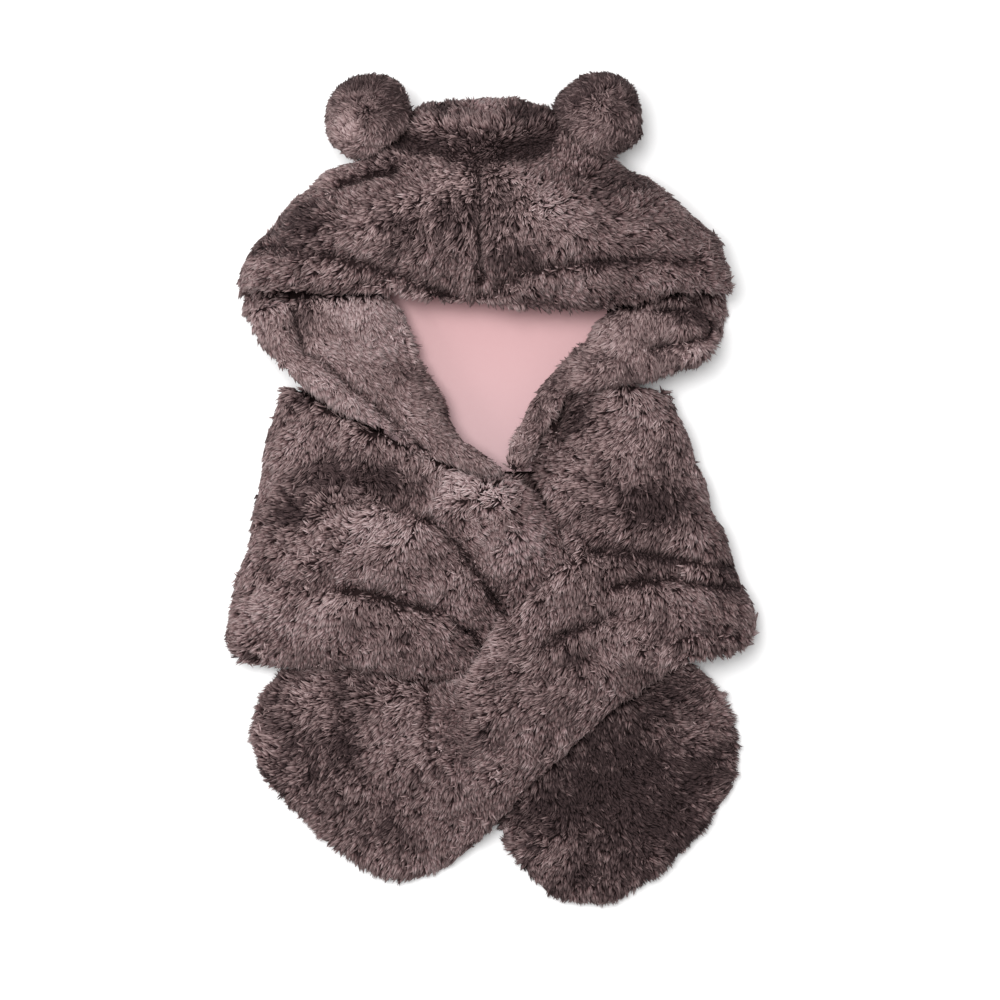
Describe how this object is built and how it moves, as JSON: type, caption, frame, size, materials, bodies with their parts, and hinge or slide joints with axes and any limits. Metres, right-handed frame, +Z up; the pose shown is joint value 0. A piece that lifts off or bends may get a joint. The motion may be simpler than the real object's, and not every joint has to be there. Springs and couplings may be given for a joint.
{
  "type": "animal hood scarf with an insert card",
  "caption": "Plush hood with round ears joined to a wide crossing scarf, lying flat with a plain card in its face opening.",
  "frame": {"origin": "middle of the part's outline, on the surface that it lies on", "axes": "+Y from the tails towards the crown, +Z up from the surface, +X to the right as seen from above"},
  "size_m": [0.3456, 0.541, 0.0698],
  "materials": {
    "plush": "long pile",
    "lining_plush": "long pile",
    "card": "matt"
  },
  "bodies": {
    "root": {"hood": "plush", "lining_left": "lining_plush", "lining_right": "lining_plush", "scarf_left": "plush", "scarf_right": "plush", "ear_left": "plush", "ear_right": "plush", "insert_card": "card"}
  },
  "joints": []
}
